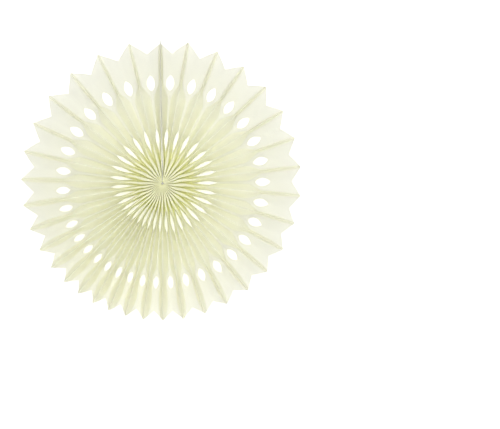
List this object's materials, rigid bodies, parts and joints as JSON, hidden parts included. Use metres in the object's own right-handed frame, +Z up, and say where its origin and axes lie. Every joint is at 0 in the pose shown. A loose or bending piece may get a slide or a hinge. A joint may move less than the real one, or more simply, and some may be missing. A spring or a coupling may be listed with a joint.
{
  "type": "paper fan rosette",
  "caption": "Round hanging rosette of pleated, die-cut tissue with pointed tips, almond holes and inner slits, joined at a card-backed seam and hung by a thread.",
  "frame": {"origin": "middle of the knot at the top end of the hanging thread", "axes": "+Z up along the thread, +X to the right seen from the front, -Y towards the viewer"},
  "size_m": [0.3996, 0.0295, 0.4059],
  "materials": {
    "tissue": "matte translucent cream tissue",
    "card": "matte cream card",
    "tape": "satin white double-sided tape",
    "thread": "matte twisted cotton thread"
  },
  "bodies": {
    "root": {"pleated_tissue": "tissue", "end_card_left": "card", "end_card_right": "card", "seam_tape_inner": "tape", "seam_tape_outer": "tape", "tie_loop": "thread", "hub_knot": "thread", "hanging_thread": "thread", "thread_end_knot": "thread"}
  },
  "joints": []
}
